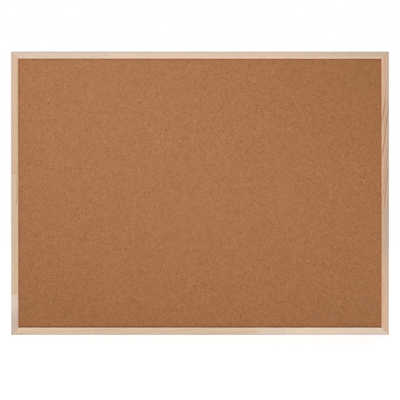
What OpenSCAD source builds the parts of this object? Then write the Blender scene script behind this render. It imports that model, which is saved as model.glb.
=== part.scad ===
// Cork bulletin board for a wall. Finger-jointed pine lengths make a mitred frame,
// and the frame holds a sheet of cork on softboard with a paper back.
// X runs along the board, Z is up, the cork faces -Y and the wall is the plane y = 0.
// The origin is the middle of the wall plane. All sizes are millimetres.

/* [Board] */
// length over the frame
board_w = 1200; // [950:5:1500]
// height over the frame
board_h = 900; // [720:5:1100]

/* [Frame moulding] */
// width of the wood seen from the front
moulding_w = 23; // [22:0.5:30]
// depth from the front face to the wall
moulding_d = 20; // [19:0.5:28]
// width of the step that takes the panel
rebate_w = 7; // [5:0.5:7]
// thickness of the lip in front of the panel
lip_t = 6; // [5:0.5:6.5]
// radius of the outer front corner
outer_round = 4; // [1:0.5:6]
// radius of the inner front corner
inner_round = 4.5; // [1:0.5:4.5]

/* [Finger joints] */
// length of a finger along the wood
finger_l = 10; // [5:0.5:15]
// number of fingers through the depth
finger_count = 5; // [3:1:6]
// flat at the tip of each finger
finger_tip = 0.5; // [0.2:0.1:0.8]
// straight wood at the front and the back of a joint
finger_shoulder = 1; // [0.5:0.25:2]
// joint in the top rail, from the left end
top_joint = 313; // [200:1:700]
// joint in the bottom rail, from the right end
bottom_joint = 419; // [100:1:700]
// upper joint in the left stile, from the top
left_upper_joint = 392; // [200:1:450]
// lower joint in the left stile, from the bottom
left_lower_joint = 126; // [60:1:250]
// joint in the right stile, from the top
right_joint = 495; // [200:1:600]

/* [Panel] */
// thickness of the cork sheet
cork_t = 2; // [1:0.25:3]
// thickness of the softboard behind the cork
softboard_t = 9.5; // [8:0.5:10]
// thickness of the paper on the back
liner_t = 0.5; // [0.3:0.1:0.6]
// gap between the panel's edge and the step's wall
panel_gap = 1.5; // [0.5:0.25:2]

/* [Corner nails] */
// distance of each nail's bend from the frame's corner, along both sides
nail_at = [3.5, 9.5];
// length of each leg
nail_leg = 5; // [3:0.5:5.5]
// thickness of the steel
nail_t = 0.6; // [0.4:0.1:1]
// depth of a nail in the wood
nail_deep = 10; // [6:1:12]

/* [Framing points] */
// points along each of the long sides
long_points = 6; // [4:1:8]
// points along each of the short sides
short_points = 4; // [2:1:5]
// length and width of a point
point_size = [14, 5.5];
// thickness of a point
point_t = 0.5; // [0.4:0.1:0.8]
// how much of a point is in the wood
point_grip = 8; // [5:0.5:9]
// length of a point's taper
point_taper = 4; // [2:0.5:6]

/* [Keyhole hangers] */
// distance from the frame's end to the middle of a hanger
hanger_inset = 120; // [60:5:200]
// length of the hanger plate
hanger_l = 38; // [37:0.5:45]
// width of the hanger plate
hanger_w = 13; // [12:0.5:14]
// thickness of the hanger plate
hanger_t = 1.2; // [1:0.1:2]
// radius of the hole that takes the head of the wall screw
entry_r = 4.25; // [3.5:0.25:4.5]
// half the width of the slot that holds the shank of the wall screw
slot_r = 2.5; // [1.5:0.1:3]
// distance from the middle of the plate to the entry hole
entry_back = 5; // [4:0.25:5.5]
// distance from the middle of the plate to the end of the slot
slot_ahead = 6; // [4:0.25:7]
// half the width of the pocket behind the plate
pocket_r = 5; // [4.5:0.25:5.5]
// depth of the pocket behind the plate
pocket_d = 8; // [6:0.5:10]

/* [Hanger screws] */
// distance from the middle of the plate to each screw
screw_at = 14.5; // [14:0.25:15.5]
// radius of the screw's shank
screw_r = 1.5; // [1.2:0.1:1.8]
// radius of the screw's flat head
head_r = 3; // [2.5:0.1:3.4]
// length of the screw with its head
screw_l = 12; // [10:0.5:14]
// length of the screw's point
screw_tip = 3; // [2:0.5:4]
// length of the cross recess over its two ends
recess_l = 3.2; // [2:0.1:3.4]
// width of the cross recess
recess_w = 0.8; // [0.5:0.1:1]
// depth of the cross recess
recess_d = 0.9; // [0.5:0.1:1]

/* [Hidden] */
$fn = 64;
// how far a cutting shape runs past the wood
past = 1;
// width of the flat on the back of the moulding
land_w = moulding_w - rebate_w;
// depth of the joint that the fingers fill
finger_pitch = (moulding_d - 2 * finger_shoulder) / finger_count;
// size of the panel
panel_w = board_w - 2 * (land_w + panel_gap);
panel_h = board_h - 2 * (land_w + panel_gap);
// the panel's layers, front to back
cork_y = lip_t - moulding_d;
softboard_y = cork_y + cork_t;
liner_y = softboard_y + softboard_t;
panel_back_y = liner_y + liner_t;
// the end points stay clear of the hanger plates
point_inset = hanger_inset + hanger_l / 2 + 11;
// a cut this far along a side is past its end
off_end = board_w + board_h;
// each side: turn about Y that brings the top rail to it, distance to its outer face, length
top_side = [0, board_h / 2, board_w];
right_side = [90, board_w / 2, board_h];
bottom_side = [180, board_h / 2, board_w];
left_side = [-90, board_w / 2, board_h];
// the joints along the sides as they are drawn, x = 0 in the middle of each
top_joint_x = top_joint - board_w / 2;
bottom_joint_x = bottom_joint - board_w / 2;
left_upper_joint_x = board_h / 2 - left_upper_joint;
left_lower_joint_x = left_lower_joint - board_h / 2;
right_joint_x = right_joint - board_h / 2;
// colours
pine = [0.84, 0.73, 0.6];
cork = [0.65, 0.45, 0.3];
fibre = [0.52, 0.44, 0.33];
kraft = [0.66, 0.54, 0.4];
zinc = [0.72, 0.73, 0.74];
steel = [0.5, 0.51, 0.53];

// ---- places ----

// Work drawn for the top rail, x along it and z = 0 on its outer face, moved to a side.
module on_side(side) {
    rotate([0, side[0], 0])
        translate([0, 0, side[1]])
            children();
}

// Work drawn for a corner of the frame with the wood towards +X and +Z, moved to a corner.
module on_corner(x_sign, z_sign, turn) {
    translate([x_sign * board_w / 2, 0, z_sign * board_h / 2])
        rotate([0, turn, 0])
            children();
}

// Flat work drawn in x and z, given a thickness from the wall side into the wood.
module sunk(depth) {
    rotate([90, 0, 0])
        linear_extrude(height = depth)
            children();
}

// ---- moulding ----

// What the cutter takes off a square corner at the origin.
module corner_waste(radius) {
    difference() {
        translate([-past, -past])
            square(radius + past);
        translate([radius, radius])
            circle(r = radius);
    }
}

// Section of the moulding, x inwards from the outer face and y = 0 at the wall.
module moulding_section() {
    difference() {
        translate([0, -moulding_d])
            square([moulding_w, moulding_d]);
        translate([land_w, cork_y])
            square([rebate_w + past, moulding_d]);
        translate([0, -moulding_d])
            corner_waste(outer_round);
        translate([moulding_w, -moulding_d])
            mirror([1, 0])
                corner_waste(inner_round);
    }
}

// One whole side with a mitre at each end, drawn as the top rail.
module mitred_bar(length) {
    inner = moulding_w + past;
    intersection() {
        rotate([0, 90, 0])
            linear_extrude(height = length + 2 * past, center = true)
                moulding_section();
        translate([0, past, 0])
            sunk(moulding_d + 2 * past)
                polygon([
                    [-length / 2 - past, past],
                    [length / 2 + past, past],
                    [length / 2 - inner, -inner],
                    [-length / 2 + inner, -inner],
                ]);
    }
}

// The zigzag of a finger joint in x and y, from the front to the back.
finger_line = [
    for (finger = [0 : finger_count - 1])
        for (corner = [[0, 0], [1, finger_pitch / 2 - finger_tip], [1, finger_pitch / 2],
                       [0, finger_pitch - finger_tip]])
            [
                corner[0] * finger_l,
                finger_shoulder - moulding_d + finger * finger_pitch + corner[1]
            ]
];

// Everything on one side of a finger joint at x = 0: way is 1 for +X and -1 for -X.
module past_joint(way) {
    front = -moulding_d - past;
    translate([0, 0, -moulding_w - past])
        linear_extrude(height = moulding_w + 2 * past)
            polygon(concat(
                [[0, front]],
                finger_line,
                [[0, past], [way * 2 * off_end, past], [way * 2 * off_end, front]]
            ));
}

// One length of wood of a side, between the joints at from and to.
module wood_length(side, from, to) {
    color(pine)
        difference() {
            on_side(side)
                mitred_bar(side[2]);
            on_side(side)
                translate([from, 0, 0])
                    past_joint(-1);
            on_side(side)
                translate([to, 0, 0])
                    past_joint(1);
            all_nails();
            on_side(side)
                side_points(side[2], side[2] == board_w ? long_points : short_points);
            hanger_cuts();
        }
}

module top_rail_left() {
    wood_length(top_side, -off_end, top_joint_x);
}

module top_rail_right() {
    wood_length(top_side, top_joint_x, off_end);
}

// the bottom rail is turned half round, so its left end is drawn at +x
module bottom_rail_left() {
    wood_length(bottom_side, bottom_joint_x, off_end);
}

module bottom_rail_right() {
    wood_length(bottom_side, -off_end, bottom_joint_x);
}

module left_stile_top() {
    wood_length(left_side, left_upper_joint_x, off_end);
}

module left_stile_middle() {
    wood_length(left_side, left_lower_joint_x, left_upper_joint_x);
}

module left_stile_bottom() {
    wood_length(left_side, -off_end, left_lower_joint_x);
}

// the right stile's top is drawn at -x
module right_stile_top() {
    wood_length(right_side, -off_end, right_joint_x);
}

module right_stile_bottom() {
    wood_length(right_side, right_joint_x, off_end);
}

// ---- panel ----

// One layer of the panel with its front at y.
module panel_layer(y, thickness) {
    translate([-panel_w / 2, y, -panel_h / 2])
        cube([panel_w, thickness, panel_h]);
}

module cork_sheet() {
    color(cork)
        panel_layer(cork_y, cork_t);
}

module softboard_core() {
    color(fibre)
        panel_layer(softboard_y, softboard_t);
}

module back_liner() {
    color(kraft)
        panel_layer(liner_y, liner_t);
}

// ---- corner nails ----

// Both V nails of a corner. Each bend is on the mitre and has one leg in either side.
module corner_pair() {
    for (at = nail_at)
        translate([at, 0, at])
            sunk(nail_deep)
                union() {
                    translate([-nail_t / 2, -nail_t / 2])
                        square([nail_leg, nail_t]);
                    translate([-nail_t / 2, -nail_t / 2])
                        square([nail_t, nail_leg]);
                }
}

module all_nails() {
    on_corner(-1, -1, 0)
        corner_pair();
    on_corner(-1, 1, 90)
        corner_pair();
    on_corner(1, 1, 180)
        corner_pair();
    on_corner(1, -1, 270)
        corner_pair();
}

module top_left_corner_nails() {
    color(steel)
        on_corner(-1, 1, 90)
            corner_pair();
}

module top_right_corner_nails() {
    color(steel)
        on_corner(1, 1, 180)
            corner_pair();
}

module bottom_left_corner_nails() {
    color(steel)
        on_corner(-1, -1, 0)
            corner_pair();
}

module bottom_right_corner_nails() {
    color(steel)
        on_corner(1, -1, 270)
            corner_pair();
}

// ---- framing points ----

// One flat point, driven into the wall of the step and lying on the panel's back.
module framing_point() {
    half = point_size[1] / 2;
    tip = point_grip - land_w;
    base = tip - point_size[0];
    translate([0, panel_back_y + point_t, 0])
        sunk(point_t)
            polygon([
                [0, tip],
                [half, tip - point_taper],
                [half, base],
                [-half, base],
                [-half, tip - point_taper],
            ]);
}

// The points of one side, drawn for the top rail.
module side_points(length, count) {
    first = point_inset - length / 2;
    step = -2 * first / (count - 1);
    for (i = [0 : count - 1])
        translate([first + i * step, 0, 0])
            framing_point();
}

module top_framing_points() {
    color(zinc)
        on_side(top_side)
            side_points(board_w, long_points);
}

module bottom_framing_points() {
    color(zinc)
        on_side(bottom_side)
            side_points(board_w, long_points);
}

module left_framing_points() {
    color(zinc)
        on_side(left_side)
            side_points(board_h, short_points);
}

module right_framing_points() {
    color(zinc)
        on_side(right_side)
            side_points(board_h, short_points);
}

// ---- keyhole hangers ----

// A hanger drawn at the origin with its slot towards +X, moved onto the back of a side.
// end is -1 or 1, the end of the side that the hanger is near and that its slot points to.
module at_hanger(side, end) {
    on_side(side)
        translate([end * (side[2] / 2 - hanger_inset), 0, -land_w / 2])
            rotate([0, end < 0 ? 180 : 0, 0])
                children();
}

// Round-ended outline between two points on the x axis.
module round_ended(from, to, radius) {
    translate([from, -radius])
        square([to - from, 2 * radius]);
    translate([from, 0])
        circle(r = radius);
    translate([to, 0])
        circle(r = radius);
}

module plate_outline() {
    middle = hanger_l / 2 - hanger_w / 2;
    round_ended(-middle, middle, hanger_w / 2);
}

// The two screws of a hanger without their recesses.
module screw_pair() {
    for (x = [-screw_at, screw_at])
        translate([x, 0, 0])
            rotate([90, 0, 0])
                union() {
                    cylinder(h = hanger_t, r1 = head_r, r2 = screw_r);
                    cylinder(h = screw_l - screw_tip, r = screw_r);
                    translate([0, 0, screw_l - screw_tip])
                        cylinder(h = screw_tip, r1 = screw_r, r2 = screw_r / 5);
                }
}

// A cross-headed flat screw at each end of the plate.
module hanger_screws() {
    color(zinc)
        difference() {
            screw_pair();
            for (x = [-screw_at, screw_at])
                for (turn = [45, 135])
                    translate([x, 0, 0])
                        rotate([0, turn, 0])
                            translate([-recess_l / 2, -recess_d, -recess_w / 2])
                                cube([recess_l, recess_d + past, recess_w]);
        }
}

module hanger_plate() {
    color(zinc)
        difference() {
            sunk(hanger_t)
                difference() {
                    plate_outline();
                    translate([-entry_back, 0])
                        circle(r = entry_r);
                    round_ended(-entry_back, slot_ahead, slot_r);
                }
            screw_pair();
        }
}

// What a hanger needs cut in the wood: the plate's seat, the pocket and the screw holes.
module hanger_cut() {
    translate([0, past, 0])
        sunk(hanger_t + past)
            plate_outline();
    sunk(hanger_t + pocket_d)
        round_ended(-entry_back, slot_ahead, pocket_r);
    screw_pair();
}

module hanger_cuts() {
    at_hanger(left_side, 1)
        hanger_cut();
    at_hanger(right_side, -1)
        hanger_cut();
    at_hanger(top_side, -1)
        hanger_cut();
    at_hanger(bottom_side, 1)
        hanger_cut();
}

module left_hanger_plate() {
    at_hanger(left_side, 1)
        hanger_plate();
}

module right_hanger_plate() {
    at_hanger(right_side, -1)
        hanger_plate();
}

module top_hanger_plate() {
    at_hanger(top_side, -1)
        hanger_plate();
}

module bottom_hanger_plate() {
    at_hanger(bottom_side, 1)
        hanger_plate();
}

module left_hanger_screws() {
    at_hanger(left_side, 1)
        hanger_screws();
}

module right_hanger_screws() {
    at_hanger(right_side, -1)
        hanger_screws();
}

module top_hanger_screws() {
    at_hanger(top_side, -1)
        hanger_screws();
}

module bottom_hanger_screws() {
    at_hanger(bottom_side, 1)
        hanger_screws();
}

// ---- what is drawn ----

top_rail_left();
top_rail_right();
bottom_rail_left();
bottom_rail_right();
left_stile_top();
left_stile_middle();
left_stile_bottom();
right_stile_top();
right_stile_bottom();
cork_sheet();
softboard_core();
back_liner();
top_left_corner_nails();
top_right_corner_nails();
bottom_left_corner_nails();
bottom_right_corner_nails();
top_framing_points();
bottom_framing_points();
left_framing_points();
right_framing_points();
left_hanger_plate();
right_hanger_plate();
top_hanger_plate();
bottom_hanger_plate();
left_hanger_screws();
right_hanger_screws();
top_hanger_screws();
bottom_hanger_screws();
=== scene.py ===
import math

import bmesh
import bpy
import numpy as np
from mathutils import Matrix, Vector, noise


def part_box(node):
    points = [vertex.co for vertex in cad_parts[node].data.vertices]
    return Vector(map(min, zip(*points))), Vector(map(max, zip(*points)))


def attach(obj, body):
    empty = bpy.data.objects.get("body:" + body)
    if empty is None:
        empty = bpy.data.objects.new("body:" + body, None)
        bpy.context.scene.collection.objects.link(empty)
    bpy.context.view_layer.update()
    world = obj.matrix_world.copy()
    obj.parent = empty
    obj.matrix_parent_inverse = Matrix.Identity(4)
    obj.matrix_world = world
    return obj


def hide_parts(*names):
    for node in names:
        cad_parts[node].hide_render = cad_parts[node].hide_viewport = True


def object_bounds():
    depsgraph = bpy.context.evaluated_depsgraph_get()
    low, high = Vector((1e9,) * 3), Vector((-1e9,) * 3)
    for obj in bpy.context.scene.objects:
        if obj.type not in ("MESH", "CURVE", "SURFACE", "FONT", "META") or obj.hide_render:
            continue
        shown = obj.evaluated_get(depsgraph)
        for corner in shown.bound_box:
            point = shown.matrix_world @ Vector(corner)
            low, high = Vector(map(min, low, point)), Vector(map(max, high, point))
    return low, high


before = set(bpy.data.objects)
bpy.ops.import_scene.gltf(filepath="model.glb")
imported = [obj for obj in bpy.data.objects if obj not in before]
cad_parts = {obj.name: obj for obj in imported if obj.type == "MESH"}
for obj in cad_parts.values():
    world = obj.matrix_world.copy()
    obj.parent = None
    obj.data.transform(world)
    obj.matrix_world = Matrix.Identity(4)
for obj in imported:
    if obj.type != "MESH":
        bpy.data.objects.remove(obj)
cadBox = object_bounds()
mm = 0.001
print("frame loaded:", len(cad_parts), "nodes")


# ---- small helpers ----

def screenColor(red, green, blue):
    # 0-255 values as a paint chart gives them, turned into Blender's linear colour
    out = []
    for part in (red, green, blue):
        part = part / 255
        out.append(part / 12.92 if part <= 0.04045 else ((part + 0.055) / 1.055) ** 2.4)
    return (*out, 1.0)


def newMaterial(name):
    mat = bpy.data.materials.new(name)
    mat.use_nodes = True
    tree = mat.node_tree
    return mat, tree, tree.nodes["Principled BSDF"]


def addNode(tree, kind, inputs=None, **settings):
    made = tree.nodes.new("ShaderNode" + kind)
    for key, value in settings.items():
        setattr(made, key, value)
    for key, value in (inputs or {}).items():
        if isinstance(value, bpy.types.NodeSocket):
            tree.links.new(value, made.inputs[key])
        else:
            made.inputs[key].default_value = value
    return made


def calc(tree, operation, first, second=0.0, third=0.0, clamp=False):
    return addNode(tree, "Math", {0: first, 1: second, 2: third}, operation=operation, use_clamp=clamp).outputs[0]


def mixColor(tree, factor, first, second, mode="MIX"):
    made = addNode(tree, "Mix", {0: factor, 6: first, 7: second}, data_type="RGBA", blend_type=mode)
    return made.outputs[2]


def spread(tree, value, low, high, outLow=0.0, outHigh=1.0, smooth=True):
    return addNode(
        tree, "MapRange", {0: value, 1: low, 2: high, 3: outLow, 4: outHigh},
        interpolation_type="SMOOTHSTEP" if smooth else "LINEAR",
    ).outputs[0]


def noiseOf(tree, vector, scale, detail=2.0, rough=0.5, distortion=0.0):
    return addNode(
        tree, "TexNoise",
        {"Vector": vector, "Scale": scale, "Detail": detail, "Roughness": rough, "Distortion": distortion},
    )


def colorRamp(tree, value, stops, interpolation="LINEAR"):
    made = addNode(tree, "ValToRGB", {0: value})
    ramp = made.color_ramp
    ramp.interpolation = interpolation
    while len(ramp.elements) < len(stops):
        ramp.elements.new(0.5)
    for element, (at, color) in zip(ramp.elements, stops):
        element.position = at
        element.color = color
    return made.outputs[0]


def edgeWear(tree, radius):
    # 0 on flat ground, rising to 1 on an arris
    rounded = addNode(tree, "Bevel", {"Radius": radius}, samples=6).outputs[0]
    true = addNode(tree, "NewGeometry").outputs["True Normal"]
    match = addNode(tree, "VectorMath", {0: rounded, 1: true}, operation="DOT_PRODUCT").outputs["Value"]
    return spread(tree, match, 0.995, 0.86)


def finish(piece, material):
    piece.data.materials.clear()
    piece.data.materials.append(material)
    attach(piece, "root")
    return piece


def meshPiece(name, work, smoothBelow=None):
    bmesh.ops.recalc_face_normals(work, faces=work.faces)
    mesh = bpy.data.meshes.new(name)
    work.to_mesh(mesh)
    work.free()
    mesh.polygons.foreach_set("use_smooth", [True] * len(mesh.polygons))
    if smoothBelow:
        mesh.set_sharp_from_angle(angle=math.radians(smoothBelow))
    piece = bpy.data.objects.new(name, mesh)
    bpy.context.collection.objects.link(piece)
    return piece


def cleanCopy(name):
    # a node's own shape with its doubled corners joined and its flat faces whole again
    work = bmesh.new()
    work.from_mesh(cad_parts[name].data)
    bmesh.ops.remove_doubles(work, verts=work.verts, dist=2e-6)
    bmesh.ops.dissolve_limit(
        work, angle_limit=math.radians(0.5), verts=work.verts[:], edges=work.edges[:], delimit={"NORMAL"},
    )
    return work


def easeEdges(piece, width, segments=2, above=35):
    bevel = piece.modifiers.new("eased edges", "BEVEL")
    bevel.width = width
    bevel.segments = segments
    bevel.limit_method = "ANGLE"
    bevel.angle_limit = math.radians(above)
    bevel.miter_outer = "MITER_ARC"
    weighted = piece.modifiers.new("flat faces stay flat", "WEIGHTED_NORMAL")
    weighted.keep_sharp = True


# ---- camera, lamps and floor ----

view = {
    "lens": 100.0,
    "distance": 3.547,
    "below": 0.0216,  # the lens is this far under the middle of the board
}

lamps = {
    "key": {"at": (-0.58, -1.85, 0.65), "aim": (-0.1, 0.0, 0.02), "size": (0.8, 0.6), "watts": 24.3},
    "fill": {"at": (0.6, -1.25, -0.26), "aim": (0.3, 0.0, -0.1), "size": (0.8, 0.3), "watts": 3.9},
    "back": {"at": (0.8, 2.8, 1.3), "aim": (0.0, 0.0, 0.0), "size": (1.8, 1.4), "watts": 70.0},
}

studio = {"ambient": 0.245, "floorSize": 14.0, "floorPaint": 0.9, "floorGlow": 0.6,
          "glowNear": 1.34, "glowFar": 1.12}

camera = bpy.data.objects.new("studioCamera", bpy.data.cameras.new("studioCamera"))
camera.data.lens = view["lens"]
camera.data.sensor_width = 36.0
camera.location = (0.0, -view["distance"], -view["below"])
camera.rotation_euler = (math.radians(90), 0.0, 0.0)
camera.data.clip_end = 60.0
bpy.context.collection.objects.link(camera)
bpy.context.scene.camera = camera

for name, lamp in lamps.items():
    light = bpy.data.lights.new(name + "Lamp", "AREA")
    light.shape = "RECTANGLE"
    light.size, light.size_y = lamp["size"]
    light.energy = lamp["watts"]
    holder = bpy.data.objects.new(name + "Lamp", light)
    holder.location = lamp["at"]
    towards = Vector(lamp["aim"]) - Vector(lamp["at"])
    holder.rotation_euler = towards.to_track_quat("-Z", "Y").to_euler()
    holder.visible_camera = False
    bpy.context.collection.objects.link(holder)


def backgroundRay(tree):
    # 1 for rays that show the background itself, by eye, in metal or through glass
    path = addNode(tree, "LightPath").outputs
    seen = calc(tree, "ADD", path["Is Camera Ray"], path["Is Glossy Ray"])
    return calc(tree, "ADD", seen, path["Is Transmission Ray"], clamp=True)


world = bpy.data.worlds.new("studioWorld")
world.use_nodes = True
bpy.context.scene.world = world
tree = world.node_tree
sky = tree.nodes["Background"]
sky.inputs["Color"].default_value = (1.0, 1.0, 1.0, 1.0)
tree.links.new(spread(tree, backgroundRay(tree), 0.0, 1.0, studio["ambient"], 1.0, smooth=False), sky.inputs["Strength"])

work = bmesh.new()
bmesh.ops.create_grid(work, x_segments=8, y_segments=8, size=studio["floorSize"] / 2)
floor = meshPiece("studioFloor", work)
floor.location = (0.0, 0.0, cadBox[0].z)
floorMat, tree, shader = newMaterial("floorPaper")
shader.inputs["Base Color"].default_value = (studio["floorPaint"],) * 3 + (1.0,)
shader.inputs["Roughness"].default_value = 0.9
shader.inputs["Specular IOR Level"].default_value = 0.0
# the floor shows the object's shadow close by and is plain white further out
away = addNode(tree, "VectorMath", {0: addNode(tree, "TexCoord").outputs["Object"]}, operation="LENGTH").outputs["Value"]
level = spread(tree, away, 0.7, 2.2, studio["glowNear"], studio["glowFar"])
glow = addNode(tree, "Emission", {"Color": (1.0, 1.0, 1.0, 1.0), "Strength": level})
share = calc(tree, "MULTIPLY", backgroundRay(tree), spread(tree, away, 0.7, 2.2, studio["floorGlow"], 1.0))
joined = addNode(tree, "MixShader", {0: share, 1: shader.outputs[0], 2: glow.outputs[0]})
tree.links.new(joined.outputs[0], tree.nodes["Material Output"].inputs["Surface"])
floor.data.materials.append(floorMat)
bpy.context.scene.view_settings.view_transform = "Standard"
print("camera, lamps and floor placed")


# ---- pine frame ----

# One entry for each finger-jointed length. lies: flat for a rail, upright for a stile. pith is
# where the heart of the tree was, in mm across the face and behind it, and drift is how far it
# moves that way in each metre. ring is the width of a year, late is the colour of its dark side.
# lip multiplies the inner lip's colour: paler sanded wood with a painted highlight, strongest on the top and right
# lengths and weakest on the left stile
pineLengths = {
    "top_rail_left": {
        "lies": "flat", "middle": 438.5, "early": (203, 180, 158), "late": (182, 152, 121),
        "ring": 3.4, "pith": (60, 30), "drift": (38, 22), "sway": 0.9, "lip": (1.2, 1.13, 1.08), "seed": 1.3,
    },
    "top_rail_right": {
        "lies": "flat", "middle": 438.5, "early": (212, 187, 164), "late": (189, 154, 124),
        "ring": 2.6, "pith": (-85, 12), "drift": (-6, 14), "sway": 0.8, "lip": (1.2, 1.13, 1.08), "seed": 2.9,
        "tone": ((-280, 0.94), (60, 1.0), (270, 1.06), (560, 1.0)),
    },
    "bottom_rail_left": {
        "lies": "flat", "middle": -438.5, "early": (214, 192, 167), "late": (197, 168, 139),
        "ring": 3.8, "pith": (26, 34), "drift": (14, 30), "sway": 1.1, "lip": (1.12, 1.1, 1.09), "seed": 4.1,
        "tone": ((-560, 1.11), (-300, 1.02), (0, 1.0), (180, 1.06)),
    },
    "bottom_rail_right": {
        "lies": "flat", "middle": -438.5, "early": (228, 209, 189), "late": (208, 179, 153),
        "ring": 2.2, "pith": (110, 18), "drift": (10, 6), "sway": 0.6, "lip": (1.12, 1.1, 1.09), "seed": 5.7,
        "tone": ((182, 0.95), (350, 1.05), (560, 1.02)),
    },
    "left_stile_top": {
        "lies": "upright", "middle": -588.5, "early": (202, 169, 141), "late": (178, 141, 110),
        "ring": 3.0, "pith": (70, 20), "drift": (9, 12), "sway": 0.8, "lip": (1.05, 1.0, 0.95), "seed": 6.2,
    },
    "left_stile_middle": {
        "lies": "upright", "middle": -588.5, "early": (212, 183, 157), "late": (188, 151, 120),
        "ring": 2.5, "pith": (-90, 26), "drift": (-7, 16), "sway": 0.9, "lip": (1.08, 1.03, 0.98), "seed": 7.8,
        "tone": ((-320, 1.08), (-100, 0.97), (58, 0.97)),
        "pitch": {"at": 4, "half": 50, "peak": 8.0, "sag": 3.6, "wide": 1.7, "strength": 0.85},
    },
    "left_stile_bottom": {
        "lies": "upright", "middle": -588.5, "early": (220, 198, 185), "late": (198, 170, 149),
        "ring": 2.1, "pith": (80, 14), "drift": (6, 8), "sway": 0.6, "lip": (1.05, 1.0, 0.95), "seed": 8.4,
        "tone": ((-440, 0.91), (-405, 0.91), (-352, 1.1), (-324, 1.12)),
    },
    "right_stile_top": {
        "lies": "upright", "middle": 588.5, "early": (203, 169, 143), "late": (144, 94, 59),
        "ring": 6.6, "pith": (74, 40), "drift": (112, 9), "sway": 0.8, "lip": (1.19, 1.15, 1.11), "seed": 9.6,
        "tone": ((-30, 0.95), (80, 1.0), (240, 1.02), (430, 1.12)), "calm": (270, 330),
    },
    "right_stile_bottom": {
        "lies": "upright", "middle": 588.5, "early": (209, 176, 150), "late": (185, 145, 111),
        "ring": 3.2, "pith": (-75, 22), "drift": (-8, 10), "sway": 0.8, "lip": (1.19, 1.15, 1.11), "seed": 11.1,
        "tone": ((-430, 1.12), (-280, 1.0), (-150, 0.87), (-45, 0.84)),
    },
}

pineFinish = {
    "fibre": 0.05,  # light and dark of single fibres
    "blotch": 0.03,  # slow light and dark along the wood
    "ducts": 0.16,  # resin ducts, short dark dashes
    "wear": 0.05,  # arrises rubbed paler
    "mitre": 0.26,  # how dark the line along a corner joint is
    "resin": (158, 108, 66),
    # along its outer side each length is painted cooler and greyer, as light from the white surroundings, and next to
    # the cork it is painted warmer, as light bounced off the cork; a stile more so than a rail
    "paintedEdgeLight": {"flat": ((0.96, 1.0, 1.06), (1.01, 1.0, 0.985)), "upright": ((0.96, 1.03, 1.1), (0.97, 0.93, 0.88))},
    "rough": 0.47,
    "bump": 0.14,
}

chip = {"from": 42.0, "to": 67.0, "deep": 2.3, "reach": 7.0, "every": 1.25}
arris = 0.28


def toneAlong(tree, along, stops):
    # slow light and dark down a length, from pairs of mm along and how light
    first, last = stops[0][0], stops[-1][0]
    at = spread(tree, along, first * mm, last * mm, smooth=False)
    greys = [((mark - first) / (last - first), (level / 2,) * 3 + (1.0,)) for mark, level in stops]
    return calc(tree, "MULTIPLY", colorRamp(tree, at, greys, "EASE"), 2.0)


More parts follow.
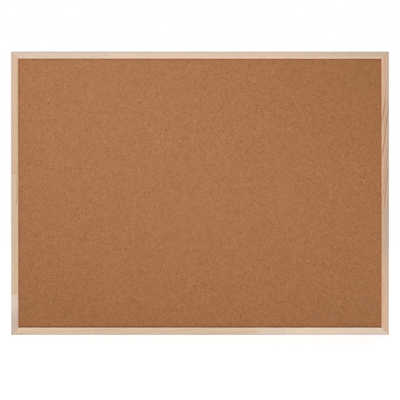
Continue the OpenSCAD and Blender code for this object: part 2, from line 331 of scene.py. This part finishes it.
def pineMaterial(name, cut):
    mat, tree, shader = newMaterial("pine_" + name)
    place = addNode(tree, "TexCoord").outputs["Object"]
    xyz = addNode(tree, "SeparateXYZ", {0: place}).outputs
    along, across = (xyz["X"], xyz["Z"]) if cut["lies"] == "flat" else (xyz["Z"], xyz["X"])
    run = calc(tree, "ADD", along, cut["seed"] * 3.1)
    side = calc(tree, "SUBTRACT", across, cut["middle"] * mm)
    behind = calc(tree, "ADD", xyz["Y"], 20 * mm)

    def grain(lengthways, crossways, detail=1.0, rough=0.5):
        # noise with this many changes to the metre along the wood and across it
        drawn = addNode(tree, "CombineXYZ", {
            0: calc(tree, "MULTIPLY", run, lengthways),
            1: calc(tree, "MULTIPLY", side, crossways),
            2: calc(tree, "MULTIPLY", behind, crossways),
        }).outputs[0]
        return noiseOf(tree, drawn, 1.0, detail, rough)

    # how many years out from the heart, which wanders a little along the length
    wander = addNode(tree, "SeparateColor", {0: grain(3.2, 0.0).outputs["Color"]}).outputs
    heartSide = calc(tree, "MULTIPLY_ADD", along, cut["drift"][0] * mm, cut["pith"][0] * mm)
    heartSide = calc(tree, "MULTIPLY_ADD", wander[0], 7 * mm, heartSide)
    heartBack = calc(tree, "MULTIPLY_ADD", along, cut["drift"][1] * mm, cut["pith"][1] * mm)
    heartBack = calc(tree, "MULTIPLY_ADD", wander[1], 9 * mm, heartBack)
    spoke = addNode(tree, "CombineXYZ", {
        0: calc(tree, "SUBTRACT", side, heartSide), 1: calc(tree, "SUBTRACT", behind, heartBack),
    }).outputs[0]
    radius = addNode(tree, "VectorMath", {0: spoke}, operation="LENGTH").outputs["Value"]
    years = calc(tree, "DIVIDE", radius, cut["ring"] * mm)
    years = calc(tree, "MULTIPLY_ADD", grain(6.0, 75.0, 2.0).outputs["Fac"], cut["sway"], years)
    uneven = noiseOf(tree, addNode(tree, "CombineXYZ", {0: years, 1: cut["seed"]}).outputs[0], 0.45, 1.0)
    years = calc(tree, "MULTIPLY_ADD", uneven.outputs["Fac"], 2.0, years)
    part = calc(tree, "FRACT", years)
    number = calc(tree, "FLOOR", years)
    year = addNode(tree, "TexWhiteNoise", {"W": number}, noise_dimensions="1D").outputs["Value"]
    late = calc(tree, "MULTIPLY", spread(tree, part, 0.5, 0.91), spread(tree, part, 1.0, 0.93))
    late = calc(tree, "MULTIPLY", late, calc(tree, "MULTIPLY_ADD", year, 0.6, 0.4))
    inwards = calc(tree, "MULTIPLY", side, -1.0 if cut["middle"] > 0 else 1.0)
    onLip = spread(tree, inwards, 6.2 * mm, 9.0 * mm)
    late = calc(tree, "MULTIPLY", late, calc(tree, "MULTIPLY_ADD", onLip, -0.5, 1.0))
    if "calm" in cut:
        # plain wood from here on
        low, high = cut["calm"]
        late = calc(tree, "MULTIPLY", late, spread(tree, along, low * mm, high * mm, 1.0, 0.2))
    wood = mixColor(tree, late, screenColor(*cut["early"]), screenColor(*cut["late"]))

    fibre = grain(28.0, 620.0, 3.0, 0.6).outputs["Fac"]
    light = spread(tree, fibre, 0.3, 0.7, 1 - pineFinish["fibre"], 1 + pineFinish["fibre"], smooth=False)
    blotch = grain(9.0, 55.0, 2.0).outputs["Fac"]
    light = calc(tree, "MULTIPLY", light, spread(
        tree, blotch, 0.25, 0.75, 1 - pineFinish["blotch"], 1 + pineFinish["blotch"], smooth=False))
    ducts = spread(tree, grain(110.0, 2100.0, 0.0).outputs["Fac"], 0.74, 0.8)
    light = calc(tree, "MULTIPLY", light, calc(tree, "MULTIPLY_ADD", ducts, -pineFinish["ducts"], 1.0))
    worn = edgeWear(tree, 1.4 * mm)
    light = calc(tree, "MULTIPLY", light, calc(tree, "MULTIPLY_ADD", worn, pineFinish["wear"], 1.0))
    if "tone" in cut:
        light = calc(tree, "MULTIPLY", light, toneAlong(tree, along, cut["tone"]))
    if "pitch" in cut:
        # a thin curved streak of resin beside the lip
        streak = cut["pitch"]
        bow = calc(tree, "MULTIPLY_ADD", along, 1000 / streak["half"], -streak["at"] / streak["half"])
        bow = calc(tree, "MULTIPLY", bow, bow)
        off = calc(tree, "MULTIPLY_ADD", bow, streak["sag"] * mm, inwards)
        off = calc(tree, "ABSOLUTE", calc(tree, "SUBTRACT", off, streak["peak"] * mm))
        resin = calc(tree, "MULTIPLY", spread(tree, off, streak["wide"] * mm, 0.2 * mm), spread(tree, bow, 1.0, 0.5))
        resin = calc(tree, "MULTIPLY", resin, streak["strength"])
        wood = mixColor(tree, resin, wood, screenColor(*pineFinish["resin"]))
    # a thin dark line where the mitres meet: glue, and painted shade in the joint
    corner = calc(tree, "SUBTRACT", calc(tree, "ABSOLUTE", xyz["Z"]), calc(tree, "ABSOLUTE", xyz["X"]))
    corner = calc(tree, "ABSOLUTE", calc(tree, "ADD", corner, 150 * mm))
    glueAndShade = spread(tree, corner, 1.3 * mm, 0.2 * mm)
    light = calc(tree, "MULTIPLY", light, calc(tree, "MULTIPLY_ADD", glueAndShade, -pineFinish["mitre"], 1.0))
    grey = addNode(tree, "CombineColor", {0: light, 1: light, 2: light}).outputs[0]
    wood = mixColor(tree, 1.0, wood, grey, "MULTIPLY")
    outer, inner = pineFinish["paintedEdgeLight"][cut["lies"]]
    # painted cool light along the outer side, painted warm cork bounce towards the lip
    paintedEdgeLight = mixColor(tree, spread(tree, inwards, -11 * mm, 8 * mm, smooth=False), (*outer, 1.0), (*inner, 1.0))
    # the inner lip: paler sanded wood plus a painted highlight that differs from side to side
    paintedEdgeLight = mixColor(tree, onLip, paintedEdgeLight, (*cut["lip"], 1.0))
    wood = mixColor(tree, 1.0, wood, paintedEdgeLight, "MULTIPLY")
    tree.links.new(wood, shader.inputs["Base Color"])

    rough = calc(tree, "MULTIPLY_ADD", fibre, 0.16, pineFinish["rough"] - 0.08)
    rough = calc(tree, "MULTIPLY_ADD", worn, 0.1, rough)
    tree.links.new(rough, shader.inputs["Roughness"])
    shader.inputs["Specular IOR Level"].default_value = 0.38
    height = calc(tree, "MULTIPLY_ADD", late, 0.12, calc(tree, "MULTIPLY", fibre, 0.8))
    height = calc(tree, "MULTIPLY_ADD", ducts, -0.6, height)
    bump = addNode(tree, "Bump", {"Strength": pineFinish["bump"], "Distance": 0.25 * mm, "Height": height})
    tree.links.new(bump.outputs[0], shader.inputs["Normal"])
    return mat


def knockChip(work):
    # a splinter lost from the left stile's inner corner, by the upper finger joint
    middle, half = (chip["from"] + chip["to"]) / 2, (chip["to"] - chip["from"]) / 2
    steps = int((chip["to"] - chip["from"]) / chip["every"]) + 1
    for i in range(steps + 1):
        at = chip["from"] + i * (chip["to"] - chip["from"]) / steps
        bmesh.ops.bisect_plane(
            work, geom=work.verts[:] + work.edges[:] + work.faces[:], dist=1e-7,
            plane_co=(0, 0, at * mm), plane_no=(0, 0, 1),
        )
    corner = (-600 + 23) * mm
    for vert in work.verts:
        z = vert.co.z / mm
        inwards = (corner - vert.co.x) / mm
        if not chip["from"] <= z <= chip["to"] or inwards > chip["reach"] or vert.co.y > -13.9 * mm:
            continue
        bite = max(0.0, 1 - ((z - middle) / half) ** 2) ** 0.7
        bite *= 0.8 + 0.45 * noise.noise((z * 0.31, inwards * 0.2, 3.0))
        near = max(0.0, 1 - inwards / chip["reach"])
        front = min(1.0, (-13.9 - vert.co.y / mm) / 2.0)
        vert.co.x -= chip["deep"] * bite * near * (0.35 + 0.65 * front) * mm
        vert.co.y += 0.9 * chip["deep"] * bite * near * front * mm * 0.5


for name, cut in pineLengths.items():
    work = cleanCopy(name)
    if name in ("left_stile_top", "left_stile_middle"):
        knockChip(work)
    length = meshPiece(name + "_pine", work, smoothBelow=32)
    easeEdges(length, arris * mm)
    finish(length, pineMaterial(name, cut))
    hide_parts(name)
print("pine lengths made:", len(pineLengths))


# ---- cork sheet ----

cork = {
    "lipSide": 577.0, "lipTop": 427.0,  # edges of the frame's lip
    "grid": 5.0,
    "roll": 0.16,  # slow rise and fall of the face
    "gap": {"left": (0.9, 1.7), "right": (0.5, 1.2), "top": (0.9, 1.7), "bottom": (1.6, 2.4)},  # depth, width
    "lipShade": {"left": 0.16, "right": 0.0, "top": 0.14, "bottom": 0.42},  # painted shade along the lip where the cork meets the frame
    "granule": 1.55, "fine": 0.8,
    "mean": (161, 102, 53), "dark": (113, 59, 19), "light": (196, 137, 84), "bark": (84, 42, 18),
    "rough": 0.62, "bump": 0.5,
}


def corkSteps(lip, edge):
    # grid lines from one edge of the sheet to the other, close together by the lip
    near = [edge, lip + 3, lip + 1.2, lip + 0.5, lip, lip - 0.5, lip - 1, lip - 1.6, lip - 2.4, lip - 3.5, lip - 6]
    inner = lip - 10
    count = int(round(2 * inner / cork["grid"]))
    field = [inner - 2 * inner * i / count for i in range(count + 1)]
    return np.array(near + field + [-v for v in reversed(near)])


def makeCork():
    low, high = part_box("cork_sheet")
    xs = corkSteps(cork["lipSide"], high.x / mm)
    zs = corkSteps(cork["lipTop"], high.z / mm)
    front, back = low.y / mm, high.y / mm
    work = bmesh.new()
    rows = []
    for z in zs:
        row = []
        for x in xs:
            inset = min(cork["lipSide"] - abs(x), cork["lipTop"] - abs(z))
            dip = 0.0
            for side, (deep, wide) in cork["gap"].items():
                off = {"left": x + cork["lipSide"], "right": cork["lipSide"] - x,
                       "bottom": z + cork["lipTop"], "top": cork["lipTop"] - z}[side]
                dip = max(dip, deep * math.exp(-((off - 0.3) / wide) ** 2))
            if inset < -2.5:
                dip = 0.0
            roll = noise.noise((x * 0.011, z * 0.011, 0.4)) + 0.5 * noise.noise((x * 0.035, z * 0.035, 7.0))
            roll = max(0.0, cork["roll"] * (1 + roll)) * min(1.0, max(0.0, inset / 25))
            row.append(work.verts.new((x * mm, (front + dip + roll) * mm, z * mm)))
        rows.append(row)
    for below, above in zip(rows, rows[1:]):
        for i in range(len(xs) - 1):
            work.faces.new((below[i], below[i + 1], above[i + 1], above[i]))
    rim = rows[0] + [row[-1] for row in rows[1:-1]] + rows[-1][::-1] + [row[0] for row in rows[-2:0:-1]]
    rear = [work.verts.new((v.co.x, back * mm, v.co.z)) for v in rim]
    for i in range(len(rim)):
        j = (i + 1) % len(rim)
        work.faces.new((rim[i], rear[i], rear[j], rim[j]))
    work.faces.new(rear)
    return meshPiece("cork_sheet_face", work, smoothBelow=40)


def corkMaterial():
    mat, tree, shader = newMaterial("cork_granules")
    place = addNode(tree, "TexCoord").outputs["Object"]
    nudge = noiseOf(tree, place, 260.0, 2.0).outputs["Color"]
    nudge = addNode(tree, "VectorMath", {0: nudge, 1: (0.0016, 0.0016, 0.0016)}, operation="MULTIPLY").outputs[0]
    torn = addNode(tree, "VectorMath", {0: place, 1: nudge}, operation="ADD").outputs[0]

    def granules(size, smooth=False):
        cells = addNode(tree, "TexVoronoi", {"Vector": torn, "Scale": 1 / (size * mm)}, feature="F1")
        edge = addNode(tree, "TexVoronoi", {"Vector": torn, "Scale": 1 / (size * mm)}, feature="DISTANCE_TO_EDGE")
        tone = addNode(tree, "SeparateColor", {0: cells.outputs["Color"]}).outputs
        return tone, edge.outputs["Distance"]

    bigTone, bigEdge = granules(cork["granule"])
    fineTone, fineEdge = granules(cork["fine"])
    mean, dark = screenColor(*cork["mean"]), screenColor(*cork["dark"])
    pale, bark = screenColor(*cork["light"]), screenColor(*cork["bark"])
    stops = [(0.0, dark), (0.22, tuple(0.5 * (a + b) for a, b in zip(dark, mean))), (0.5, mean),
             (0.78, tuple(0.5 * (a + b) for a, b in zip(pale, mean))), (1.0, pale)]
    big = colorRamp(tree, bigTone[0], stops)
    small = colorRamp(tree, fineTone[1], stops)
    patch = spread(tree, noiseOf(tree, place, 330.0, 1.0).outputs["Fac"], 0.42, 0.58)
    color = mixColor(tree, patch, big, small)
    barkSpot = spread(tree, fineTone[2], 0.955, 0.965)
    color = mixColor(tree, calc(tree, "MULTIPLY", barkSpot, 0.75), color, bark)
    seamsAndLipShade = spread(tree, bigEdge, 0.0, 0.09, 0.80, 1.0)
    seamsAndLipShade = calc(tree, "MULTIPLY", seamsAndLipShade, spread(tree, fineEdge, 0.0, 0.12, 0.90, 1.0))
    mottle = noiseOf(tree, place, 85.0, 3.0, 0.6).outputs["Fac"]
    seamsAndLipShade = calc(tree, "MULTIPLY", seamsAndLipShade, spread(tree, mottle, 0.3, 0.7, 0.965, 1.035, smooth=False))
    cloud = noiseOf(tree, place, 6.0, 2.0).outputs["Fac"]
    seamsAndLipShade = calc(tree, "MULTIPLY", seamsAndLipShade, spread(tree, cloud, 0.3, 0.7, 0.985, 1.015, smooth=False))
    fleck = noiseOf(tree, place, 4200.0, 1.0).outputs["Fac"]
    seamsAndLipShade = calc(tree, "MULTIPLY", seamsAndLipShade, spread(tree, fleck, 0.25, 0.75, 0.94, 1.06, smooth=False))
    xyz = addNode(tree, "SeparateXYZ", {0: torn}).outputs
    # painted shade in a band along each side's lip, darkest at the bottom, none on the right
    for side, shadeDepth in cork["lipShade"].items():
        # distance in from that side's lip
        at = xyz["X"] if side in ("left", "right") else xyz["Z"]
        edge = cork["lipSide"] if side in ("left", "right") else cork["lipTop"]
        outwards = -1 if side in ("left", "bottom") else 1
        off = calc(tree, "MULTIPLY_ADD", at, -outwards, edge * mm)
        band = calc(tree, "MULTIPLY", spread(tree, off, 4.4 * mm, 2.6 * mm), shadeDepth)
        seamsAndLipShade = calc(tree, "MULTIPLY", seamsAndLipShade, calc(tree, "SUBTRACT", 1.0, band))
    grey = addNode(tree, "CombineColor", {0: seamsAndLipShade, 1: seamsAndLipShade, 2: seamsAndLipShade}).outputs[0]
    color = mixColor(tree, 1.0, color, grey, "MULTIPLY")
    tree.links.new(color, shader.inputs["Base Color"])
    rough = calc(tree, "MULTIPLY_ADD", bigTone[2], 0.12, cork["rough"] - 0.06)
    tree.links.new(rough, shader.inputs["Roughness"])
    shader.inputs["Specular IOR Level"].default_value = 0.45
    height = calc(tree, "ADD", spread(tree, bigEdge, 0.0, 0.16), calc(tree, "MULTIPLY", bigTone[1], 0.45))
    height = calc(tree, "ADD", height, calc(tree, "MULTIPLY", spread(tree, fineEdge, 0.0, 0.2), 0.35))
    bump = addNode(tree, "Bump", {"Strength": cork["bump"], "Distance": 0.22 * mm, "Height": height})
    tree.links.new(bump.outputs[0], shader.inputs["Normal"])
    return mat


corkFace = finish(makeCork(), corkMaterial())
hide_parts("cork_sheet")
print("cork sheet made:", len(corkFace.data.polygons), "faces")


# ---- softboard and paper back ----

board = {"pale": (150, 128, 98), "dark": (112, 92, 66), "bump": 0.5}
paper = {"mean": (181, 149, 112), "dark": (160, 126, 90), "grid": 9.0, "ripple": 0.2, "bump": 0.35}


def softboardMaterial():
    mat, tree, shader = newMaterial("softboard_fibre")
    place = addNode(tree, "TexCoord").outputs["Object"]
    layered = addNode(tree, "Mapping", {"Vector": place, "Scale": (1.0, 4.0, 1.0)}).outputs[0]
    fluff = noiseOf(tree, layered, 420.0, 4.0, 0.65, 0.6).outputs["Fac"]
    color = colorRamp(tree, fluff, [(0.32, screenColor(*board["dark"])), (0.68, screenColor(*board["pale"]))])
    tree.links.new(color, shader.inputs["Base Color"])
    shader.inputs["Roughness"].default_value = 0.95
    shader.inputs["Specular IOR Level"].default_value = 0.15
    bump = addNode(tree, "Bump", {"Strength": board["bump"], "Distance": 0.4 * mm, "Height": fluff})
    tree.links.new(bump.outputs[0], shader.inputs["Normal"])
    return mat


def makePaper():
    low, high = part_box("back_liner")
    xs = np.linspace(low.x, high.x, int((high.x - low.x) / (paper["grid"] * mm)) + 1)
    zs = np.linspace(low.z, high.z, int((high.z - low.z) / (paper["grid"] * mm)) + 1)
    work = bmesh.new()
    rows = []
    for z in zs:
        row = []
        for x in xs:
            edge = min(x - low.x, high.x - x, z - low.z, high.z - z) / mm
            wave = noise.noise((x * 9, z * 3.5, 2.0)) + 0.6 * noise.noise((x * 21, z * 11, 5.0))
            sink = max(0.0, paper["ripple"] * (1 + wave)) * min(1.0, max(0.0, (edge - 12) / 25))
            row.append(work.verts.new((x, high.y - sink * mm, z)))
        rows.append(row)
    for below, above in zip(rows, rows[1:]):
        for i in range(len(xs) - 1):
            work.faces.new((below[i], above[i], above[i + 1], below[i + 1]))
    rim = rows[0] + [row[-1] for row in rows[1:-1]] + rows[-1][::-1] + [row[0] for row in rows[-2:0:-1]]
    rear = [work.verts.new((v.co.x, low.y, v.co.z)) for v in rim]
    for i in range(len(rim)):
        j = (i + 1) % len(rim)
        work.faces.new((rim[i], rear[i], rear[j], rim[j]))
    work.faces.new(rear)
    return meshPiece("back_liner_paper", work, smoothBelow=40)


def paperMaterial():
    mat, tree, shader = newMaterial("kraft_paper")
    place = addNode(tree, "TexCoord").outputs["Object"]
    strands = addNode(tree, "Mapping", {"Vector": place, "Rotation": (0, 0.3, 0), "Scale": (1.0, 1.0, 0.18)}).outputs[0]
    fibre = noiseOf(tree, strands, 1500.0, 3.0, 0.7, 0.8).outputs["Fac"]
    cloud = noiseOf(tree, place, 14.0, 3.0, 0.6).outputs["Fac"]
    color = colorRamp(tree, fibre, [(0.3, screenColor(*paper["dark"])), (0.62, screenColor(*paper["mean"]))])
    tone = spread(tree, cloud, 0.3, 0.7, 0.95, 1.05, smooth=False)
    grey = addNode(tree, "CombineColor", {0: tone, 1: tone, 2: tone}).outputs[0]
    color = mixColor(tree, 1.0, color, grey, "MULTIPLY")
    tree.links.new(color, shader.inputs["Base Color"])
    tree.links.new(calc(tree, "MULTIPLY_ADD", cloud, 0.2, 0.65), shader.inputs["Roughness"])
    shader.inputs["Specular IOR Level"].default_value = 0.3
    crease = noiseOf(tree, place, 60.0, 4.0, 0.55, 1.2).outputs["Fac"]
    height = calc(tree, "MULTIPLY_ADD", fibre, 0.25, crease)
    bump = addNode(tree, "Bump", {"Strength": paper["bump"], "Distance": 0.4 * mm, "Height": height})
    tree.links.new(bump.outputs[0], shader.inputs["Normal"])
    return mat


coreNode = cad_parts["softboard_core"]
coreNode.data.materials.clear()
coreNode.data.materials.append(softboardMaterial())
liner = finish(makePaper(), paperMaterial())
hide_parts("back_liner")
print("softboard and paper made")


# ---- steel ----

zinc = {"bright": (205, 208, 212), "dull": (168, 172, 178), "rough": 0.34, "spangle": 2.2}
nailSteel = {"bright": (150, 152, 156), "dull": (112, 112, 114), "rough": 0.42, "spangle": 1.4}


def steelMaterial(name, look):
    mat, tree, shader = newMaterial(name)
    place = addNode(tree, "TexCoord").outputs["Object"]
    flake = addNode(tree, "TexVoronoi", {"Vector": place, "Scale": 1 / (look["spangle"] * mm)}, feature="F1")
    tone = addNode(tree, "SeparateColor", {0: flake.outputs["Color"]}).outputs
    stain = noiseOf(tree, place, 240.0, 3.0, 0.6).outputs["Fac"]
    shade = calc(tree, "MULTIPLY_ADD", tone[0], 0.45, calc(tree, "MULTIPLY", stain, 0.6))
    color = colorRamp(tree, shade, [(0.2, screenColor(*look["dull"])), (0.75, screenColor(*look["bright"]))])
    worn = edgeWear(tree, 0.5 * mm)
    color = mixColor(tree, calc(tree, "MULTIPLY", worn, 0.5), color, screenColor(*look["bright"]))
    tree.links.new(color, shader.inputs["Base Color"])
    shader.inputs["Metallic"].default_value = 1.0
    tree.links.new(calc(tree, "MULTIPLY_ADD", tone[1], 0.14, look["rough"] - 0.05), shader.inputs["Roughness"])
    brushed = addNode(tree, "Mapping", {"Vector": place, "Scale": (300.0, 300.0, 9000.0)}).outputs[0]
    scratch = noiseOf(tree, brushed, 1.0, 2.0).outputs["Fac"]
    bump = addNode(tree, "Bump", {"Strength": 0.12, "Distance": 0.05 * mm, "Height": scratch})
    tree.links.new(bump.outputs[0], shader.inputs["Normal"])
    return mat


zincPlate = steelMaterial("zinc_plate", zinc)
cornerSteel = steelMaterial("corner_nail_steel", nailSteel)

sides = ("top", "bottom", "left", "right")
metalNodes = {side + "_hanger_plate": (zincPlate, "zinc_plate", 0.16) for side in sides}
metalNodes |= {side + "_hanger_screws": (zincPlate, "zinc_plate", 0.08) for side in sides}
metalNodes |= {side + "_framing_points": (zincPlate, "zinc_plate", 0.06) for side in sides}
metalNodes |= {
    f"{end}_{side}_corner_nails": (cornerSteel, "nail_steel", 0.05)
    for end in ("top", "bottom") for side in ("left", "right")
}
for name, (material, slot, ease) in metalNodes.items():
    part = meshPiece(name + "_steel", cleanCopy(name), smoothBelow=30)
    easeEdges(part, ease * mm)
    finish(part, material)
    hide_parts(name)
print("steel parts made:", len(metalNodes))


# ---- done ----

print("scene built")
